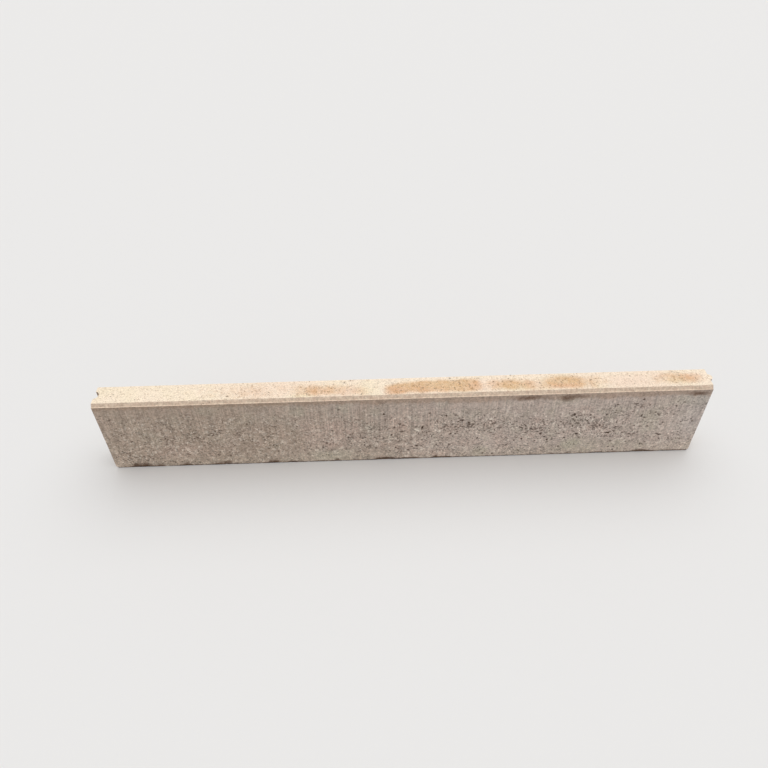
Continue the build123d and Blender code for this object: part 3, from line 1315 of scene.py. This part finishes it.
@dataclass(frozen=True)
class PressedConcrete:
    """Pressed, earth-moist concrete with a buff sand.

    The press stamp closes the top, the bevels and the ledges, and they dry to a pale cream. The
    sides are drawn through the mould, which smears the paste over them: they are darker and greyer,
    with fine upright drag marks above and open, granular concrete below. The surface is dull all
    over.

    Sizes ending in _mm are in millimetres. The sand is up to 2 mm and the gravel up to 8 mm in the
    real mix. The sand is drawn up to twice as coarse on the sides, so that the render shows it.

    A MapRange node's inputs are its value, the two ends that are read and the two that they are
    turned to. Ends that aren't given are 0 and 1. Places and heights are in metres there.
    """

    crown_pale: str = "#f7e4cc"
    crown_rose: str = "#f3dac3"
    crown_green: str = "#f4e4c6"
    damp_tan: str = "#dab386"
    damp_rust: str = "#dcae84"
    crown_speck: str = "#b08862"
    crown_grey: str = "#957c66"
    bevel_pale: str = "#e7d3bb"
    bevel_pink: str = "#d0b49e"
    side_brown: str = "#b29f8e"
    side_grey: str = "#c7b6aa"
    side_green: str = "#bbb39f"
    side_pink: str = "#caafa0"
    side_foot: str = "#cebfab"
    side_cool: str = "#c3b8b1"
    pale_grain: str = "#ece2d3"
    dark_grain: str = "#75665b"
    band: str = "#a78c76"
    # Grime and painted shade in hollows, and the painted contact shadow at the foot
    void: str = "#46301c"
    soil: str = "#634733"
    roughness: float = 0.93
    sand_mm: float = 3.4
    grain_mm: float = 2.6
    fine_mm: float = 2.0
    gravel_mm: float = 9.0
    cloud_mm: float = 55.0
    tint_mm: float = 30.0
    drag_mm: float = 2.1
    drag_length_mm: float = 55.0
    sweep_mm: float = 8.0
    sweep_length_mm: float = 150.0
    band_mm: float = 24.0
    pit_mm: float = 3.3
    cluster_mm: float = 24.0
    crown_cloud_mm: float = 40.0
    stain_mm: float = 7.0
    soil_mm: float = 5.0
    relief_mm: float = 1.0
    ledge_height: float = 0.145

    def material(self) -> bpy.types.Material:
        """Builds the material.

        Returns:
            The concrete, on Object coordinates and the mesh's own layers.
        """
        material = bpy.data.materials.new("pressed_concrete")
        material.use_nodes = True
        material.node_tree.nodes.clear()
        g = self.grains(Nodes(material.node_tree))
        pits = self.pits(g)
        kinds = {6: self.side_colour(g), 7: self.crown_colour(g)}
        colour = g.add("Mix", {0: self.crown_share(g), **kinds}, 2, data_type="RGBA")
        looks = {
            "Base Color": self.marks(g, pits, colour),
            "Roughness": self.roughness,
            "Normal": self.relief(g, pits),
        }
        g.add("OutputMaterial", {"Surface": g.add("BsdfPrincipled", looks)})
        return material

    def grains(self, nodes: Nodes) -> Grains:
        """Makes what the colour and the relief share.

        Args:
            nodes: the material's tree.

        Returns:
            The tree with the shared outputs.
        """
        place = nodes.add("TexCoord", out="Object")
        axes = nodes.add("SeparateXYZ", (place,)).node.outputs
        normal = nodes.add("NewGeometry", out="Normal")
        sand, fine, gravel = (
            nodes.add(
                "TexNoise",
                {"Vector": place, "Scale": per(size), "Detail": detail, "Roughness": 0.6},
            )
            for size, detail in ((self.sand_mm, 2.0), (self.fine_mm, 1.0), (self.gravel_mm, 3.0))
        )
        cells = nodes.add("TexVoronoi", {"Vector": place, "Scale": per(self.grain_mm)}, "Color")
        tone, pale, dark = nodes.add("SeparateColor", (cells,)).node.outputs[:3]
        return Grains(
            nodes.tree,
            place=place,
            along=axes["X"],
            height=axes["Z"],
            up=nodes.add("SeparateXYZ", (normal,), "Z"),
            sand=sand,
            fine=fine,
            gravel=gravel,
            tone=tone,
            pale=pale,
            dark=dark,
            opened=nodes.add("Attribute", out="Fac", attribute_name=OPEN),
        )

    def pits(self, g: Grains) -> Socket:
        """Ragged pits between the grains, in clusters where the concrete is open.

        Args:
            g: the tree with the shared outputs.

        Returns:
            The pits, from 0 to 1.
        """
        flat = g.add("Mapping", {"Vector": g.place, "Scale": (1, 1, 1.4)})
        gaps, cluster = (
            g.add(
                "TexNoise",
                {"Vector": flat, "Scale": per(size), "Detail": detail, "Roughness": 0.6},
            )
            for size, detail in ((self.pit_mm, 2.0), (self.cluster_mm, 1.0))
        )
        held = g.add("Math", (cluster, 0.35, gaps), operation="MULTIPLY_ADD")
        shut = g.add("Math", (g.opened, -0.15, held), operation="MULTIPLY_ADD")
        return g.add("MapRange", (shut, 0.44, 0.41), interpolation_type="SMOOTHSTEP")

    def side_colour(self, g: Grains) -> Socket:
        """The colour of the sides: taupe, browner at the grooved end, with clouds and grains.

        Args:
            g: the tree with the shared outputs.

        Returns:
            The colour.
        """
        cloud, hue = (
            g.add("TexNoise", {"Vector": g.place, "Scale": per(size), "Detail": 3.0})
            for size in (self.cloud_mm, self.tint_mm)
        )
        shift = g.add("Math", (cloud, 0.5, g.along), operation="MULTIPLY_ADD")
        greyer = g.add("MapRange", (shift, 0.0, 0.42))
        ends = {6: linear(self.side_brown), 7: linear(self.side_grey)}
        colour = g.add("Mix", {0: greyer, **ends}, 2, data_type="RGBA")
        tint = g.add("Attribute", out="Fac", attribute_name=TINT)
        tinted = g.add("Math", (tint, 0.5, hue), operation="MULTIPLY_ADD")
        calm = g.add("MapRange", (g.along, -0.3, 0.0, 0.5))
        high = g.add("MapRange", (g.height, 0.02, 0.06))
        bared = g.add("MapRange", (g.opened, 0.0, 1.0, 0.25))
        for tone, value, start, end, most, part in (
            (self.side_green, tinted, 0.52, 0.95, 0.85, calm),
            (self.side_pink, tinted, 0.48, 0.05, 0.85, calm),
            (self.side_foot, g.height, 0.03, 0.0, 0.4, 1.0),
            (self.side_cool, g.along, 0.44, 0.485, 0.6, high),
            (self.pale_grain, g.gravel, 0.54, 0.72, 0.48, bared),
            (self.pale_grain, g.pale, 0.84, 0.94, 0.6, bared),
            (self.dark_grain, g.dark, 0.88, 0.96, 0.5, bared),
        ):
            share = g.add("MapRange", (value, start, end, 0.0, most))
            amount = g.add("Math", (share, part), operation="MULTIPLY")
            colour = g.add("Mix", {0: amount, 6: colour, 7: linear(tone)}, 2, data_type="RGBA")
        return self.dragged(g, colour)

    def under_ledge(self, g: Grains, drag: Socket, colour: Socket) -> Socket:
        """Lays the browner band under the ledge, where the stamp's edge holds back the paste.

        Args:
            g: the tree with the shared outputs.
            drag: the drag marks, which make its lower edge ragged.
            colour: the colour so far.

        Returns:
            The colour.
        """
        wander = g.add("TexNoise", {"Vector": g.place, "Scale": per(self.band_mm), "Detail": 3.0})
        edge = g.height
        for noises in (wander, drag):
            edge = g.add("Math", (noises, 0.012, edge), operation="MULTIPLY_ADD")
        lower = g.add("MapRange", (g.along, -0.3, 0.1, -0.004, 0.002))
        start = g.add("Math", (edge, lower), operation="ADD")
        band = g.add(
            "MapRange", (start, 0.144, 0.151, 0.0, 0.56), interpolation_type="SMOOTHSTEP"
        )
        return g.add("Mix", {0: band, 6: colour, 7: linear(self.band)}, 2, data_type="RGBA")

    def dragged(self, g: Grains, colour: Socket) -> Socket:
        """Gives the sides their grains' tones, and the marks of being drawn through the mould.

        Args:
            g: the tree with the shared outputs.
            colour: the colour so far.

        Returns:
            The colour.
        """
        scores = []
        for width, length in (
            (self.drag_mm, self.drag_length_mm),
            (self.sweep_mm, self.sweep_length_mm),
        ):
            drawn = g.add("Mapping", {"Vector": g.place, "Scale": (1, 1, width / length)})
            scores.append(g.add("TexNoise", {"Vector": drawn, "Scale": per(width), "Detail": 1.0}))
        lower, upper, rubbed, brighter, finer, coarser = (
            g.add("MapRange", spans)
            for spans in (
                (g.height, 0.03, 0.09, 0.15, 0.75),
                (g.height, 0.142, 0.13, 0.25),
                (g.opened, 0.0, 1.0, 0.75, 1.2),
                (g.height, 0.12, 0.012, 0.975, 1.12),
                (g.height, 0.1, 0.03, 0.45, 0.8),
                (g.height, 0.08, 0.025, 0.3, 0.78),
            )
        )
        drag = g.add("Math", (lower, upper), operation="MULTIPLY")
        sweep = g.add("Math", (drag, 0.5), operation="MULTIPLY")
        shares = (
            (g.sand, rubbed),
            (g.fine, finer),
            (g.tone, 0.24),
            (g.gravel, coarser),
            (scores[0], drag),
            (scores[1], sweep),
        )
        return g.varied(self.under_ledge(g, scores[0], colour), brighter, shares)

    def crown_colour(self, g: Grains) -> Socket:
        """The cream of the top, the bevels and the ledges, with its damp patches and dark grains.

        Args:
            g: the tree with the shared outputs.

        Returns:
            The colour.
        """
        cloud, blotch = (
            g.add(
                "TexNoise",
                {"Vector": g.place, "Scale": per(size), "Detail": 5.0, "Roughness": rough},
            )
            for size, rough in ((self.crown_cloud_mm, 0.55), (self.stain_mm, 0.72))
        )
        tint, damp = (g.add("Attribute", out="Fac", attribute_name=name) for name in (TINT, DAMP))
        hued = g.add("Math", (tint, 0.4, cloud), operation="MULTIPLY_ADD")
        soaked = g.add("Math", (blotch, 1.1, damp), operation="MULTIPLY_ADD")
        green, rose, tan, mottle, wet, rare, level = (
            g.add("MapRange", spans)
            for spans in (
                (hued, 0.5, 0.95),
                (hued, 0.5, 0.05),
                (hued, 0.2, 0.75),
                (blotch, 0.35, 0.65),
                (soaked, 0.71, 1.7),
                (g.pale, 0.82, 0.96),
                (g.up, 0.72, 0.9),
            )
        )
        stain, kinds, bevel = (
            g.add("Mix", {0: share, 6: linear(one), 7: linear(other)}, 2, data_type="RGBA")
            for share, one, other in (
                (tan, self.damp_rust, self.damp_tan),
                (g.tone, self.crown_speck, self.crown_grey),
                (mottle, self.bevel_pale, self.bevel_pink),
            )
        )
        strength = g.add("MapRange", (wet, 0.0, 1.0, 0.3, 0.8))
        speck = g.add("Math", (rare, strength), operation="MULTIPLY")
        colour = linear(self.crown_pale)
        for share, other in (
            (green, linear(self.crown_green)),
            (rose, linear(self.crown_rose)),
            (wet, stain),
            (speck, kinds),
        ):
            colour = g.add("Mix", {0: share, 6: colour, 7: other}, 2, data_type="RGBA")
        topmost = g.add("MapRange", (g.height, 0.1465, 0.148, 0.35))
        flat = g.add("Math", (level, topmost), operation="MULTIPLY")
        sloping = g.varied(bevel, 1.0, ((g.sand, 0.75), (g.tone, 0.15)))
        top = g.varied(colour, 1.0, ((g.fine, 0.85), (g.tone, 0.12)))
        return g.add("Mix", {0: flat, 6: sloping, 7: top}, 2, data_type="RGBA")

    def crown_share(self, g: Grains) -> Socket:
        """Where the crown is: above the ledges, and facing up at least as much as a bevel.

        Args:
            g: the tree with the shared outputs.

        Returns:
            The share, from 0 to 1.
        """
        ledge = self.ledge_height
        above = g.add("MapRange", (g.height, ledge - 0.0014, ledge - 0.0007))
        facing = g.add("MapRange", (g.up, 0.2, 0.4))
        return g.add("Math", (above, facing), operation="MULTIPLY")

    def marks(self, g: Grains, pits: Socket, colour: Socket) -> Socket:
        """Lays the soil on, and darkens voids and pits with grime and painted shade.

        Args:
            g: the tree with the shared outputs.
            pits: the pits, from 0 to 1.
            colour: the colour so far.

        Returns:
            The colour.
        """
        soil, hollow = (
            g.add("Attribute", out="Fac", attribute_name=name) for name in (SOIL, HOLLOW)
        )
        patchy = g.add(
            "TexNoise",
            {"Vector": g.place, "Scale": per(self.soil_mm), "Detail": 4.0, "Roughness": 0.65},
        )
        laid = g.add("Math", (patchy, 1.5, soil), operation="MULTIPLY_ADD")
        # Painted shade and grime in voids and pits, and the painted contact shadow along the foot
        deep = g.add("Math", (pits, 0.6, hollow), operation="MULTIPLY_ADD")
        soiled = g.add("MapRange", (laid, 1.0, 1.85, 0.0, 0.85))
        dark = g.add("MapRange", (deep, 0.0, 0.9, 0.0, 0.92))
        for share, tone in ((soiled, self.soil), (dark, self.void)):
            colour = g.add("Mix", {0: share, 6: colour, 7: linear(tone)}, 2, data_type="RGBA")
        return colour

    def relief(self, g: Grains, pits: Socket) -> Socket:
        """The relief that is finer than the mesh: sand grains and pits.

        Args:
            g: the tree with the shared outputs.
            pits: the pits, from 0 to 1.

        Returns:
            The normal.
        """
        bared = g.add("MapRange", (g.opened, 0.0, 0.6, 0.25, 1.0))
        height = g.add("Math", (g.sand, bared), operation="MULTIPLY")
        for value, share in ((g.fine, 0.35), (pits, -0.6)):
            height = g.add("Math", (value, share, height), operation="MULTIPLY_ADD")
        distance = self.relief_mm * MM
        return g.add("Bump", {"Height": height, "Strength": 1.0, "Distance": distance})


@dataclass
class KerbStone:
    """The stone: its mesh, its finish and its place in the frame.

    Edges that are folded by sharp or more are shaded as sharp.
    """

    sizes: StoneSizes
    finish: PressedConcrete
    sharp: float = math.radians(42)

    def build(self) -> bpy.types.Object:
        """Makes the stone's object.

        Returns:
            The object, at the origin, in metres.
        """
        weathering = Weathering(self.sizes)
        stone = StoneMesh(self.sizes, weathering).build()
        weathering.apply(stone)
        bmesh.ops.scale(stone, vec=(MM, MM, MM), verts=stone.verts[:])
        for face in stone.faces:
            face.smooth = True
        for edge in stone.edges:
            edge.smooth = not edge.is_manifold or edge.calc_face_angle() < self.sharp
        mesh = bpy.data.meshes.new(PIECE)
        stone.to_mesh(mesh)
        stone.free()
        mesh.materials.append(self.finish.material())
        piece = bpy.data.objects.new(PIECE, mesh)
        bpy.context.scene.collection.objects.link(piece)
        return piece


@dataclass(frozen=True)
class Studio:
    """A plain pale floor, soft light from above, and the photograph's point of view.

    Turns and the lamp's spread are in degrees, the camera's place and lens in millimetres, and the
    floor's side is in metres.
    """

    floor_colour: str = "#e8e6e3"
    floor_roughness: float = 0.95
    floor_size: float = 40.0
    backdrop_colour: str = "#e4e1dd"
    sky_colour: str = "#f6f8fc"
    sky_strength: float = 0.556
    lamp_strength: float = 1.66
    lamp_spread: float = 85.0
    lamp_turn: tuple[float, float, float] = (-14.0, 8.0, 0.0)
    camera_place: tuple[float, float, float] = (-39.1, -795.1, 878.3)
    camera_turn: tuple[float, float, float] = (47.725, 0.964, -1.507)
    focal_length: float = 31.11
    sensor: float = 36.0

    def build(self) -> None:
        """Makes the floor, the sky, the lamp and the camera."""
        self.floor()
        self.sky()
        self.lamp()
        self.camera()

    def floor(self) -> None:
        """A matt floor at the level of the stone's base."""
        plate = bmesh.new()
        bmesh.ops.create_grid(plate, x_segments=1, y_segments=1, size=self.floor_size / 2)
        mesh = bpy.data.meshes.new("floor")
        plate.to_mesh(mesh)
        plate.free()
        material = bpy.data.materials.new("matt_floor")
        material.use_nodes = True
        shader = material.node_tree.nodes["Principled BSDF"]
        shader.inputs["Base Color"].default_value = linear(self.floor_colour)
        shader.inputs["Roughness"].default_value = self.floor_roughness
        mesh.materials.append(material)
        floor = bpy.data.objects.new("floor", mesh)
        bpy.context.scene.collection.objects.link(floor)
        floor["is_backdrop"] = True

    def sky(self) -> None:
        """An even pale sky that lights the stone, and a backdrop of the floor's tone behind it."""
        world = bpy.data.worlds.new("sky")
        world.use_nodes = True
        world.node_tree.nodes.clear()
        nodes = Nodes(world.node_tree)
        rays = nodes.add("LightPath").node.outputs
        seen = rays["Is Camera Ray"]
        for kind in ("Is Glossy Ray", "Is Transmission Ray"):
            seen = nodes.add("Math", (seen, rays[kind]), operation="MAXIMUM")
        light, backdrop = (
            nodes.add("Background", {"Color": linear(colour), "Strength": strength})
            for colour, strength in (
                (self.sky_colour, self.sky_strength),
                (self.backdrop_colour, 1.0),
            )
        )
        nodes.add("OutputWorld", {"Surface": nodes.add("MixShader", (seen, light, backdrop))})
        bpy.context.scene.world = world

    def lamp(self) -> None:
        """One wide, soft and distant lamp above, a little behind and to the right."""
        lamp = bpy.data.lights.new("overcast", "SUN")
        lamp.angle = math.radians(self.lamp_spread)
        lamp.energy = self.lamp_strength
        light = bpy.data.objects.new("overcast", lamp)
        light.rotation_euler = Euler([math.radians(turn) for turn in self.lamp_turn])
        bpy.context.scene.collection.objects.link(light)

    def camera(self) -> None:
        """The camera, where it stood for the photograph."""
        lens = bpy.data.cameras.new("camera")
        lens.lens = self.focal_length
        lens.sensor_width = self.sensor
        camera = bpy.data.objects.new("camera", lens)
        camera.location = Vector(self.camera_place) * MM
        camera.rotation_euler = Euler([math.radians(turn) for turn in self.camera_turn])
        bpy.context.scene.collection.objects.link(camera)
        bpy.context.scene.camera = camera
        bpy.context.scene.view_settings.view_transform = "Standard"


def main() -> None:
    """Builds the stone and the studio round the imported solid."""
    logging.basicConfig(level=logging.INFO, format="%(message)s")
    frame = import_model()
    solid_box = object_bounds()
    stone = KerbStone(StoneSizes.from_frame(frame), PressedConcrete()).build()
    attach(stone, "root")
    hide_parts(NODE)
    triangles = sum(len(face.vertices) - 2 for face in stone.data.polygons)
    log.info("%s: %d triangles", stone.name, triangles)
    Studio().build()
    log.info("studio: floor, sky, overhead light and camera")
    boxes = {"solid": solid_box, "visual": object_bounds()}
    {name: [list(corner) for corner in box] for name, box in boxes.items()}


if __name__ == "__main__":
    main()
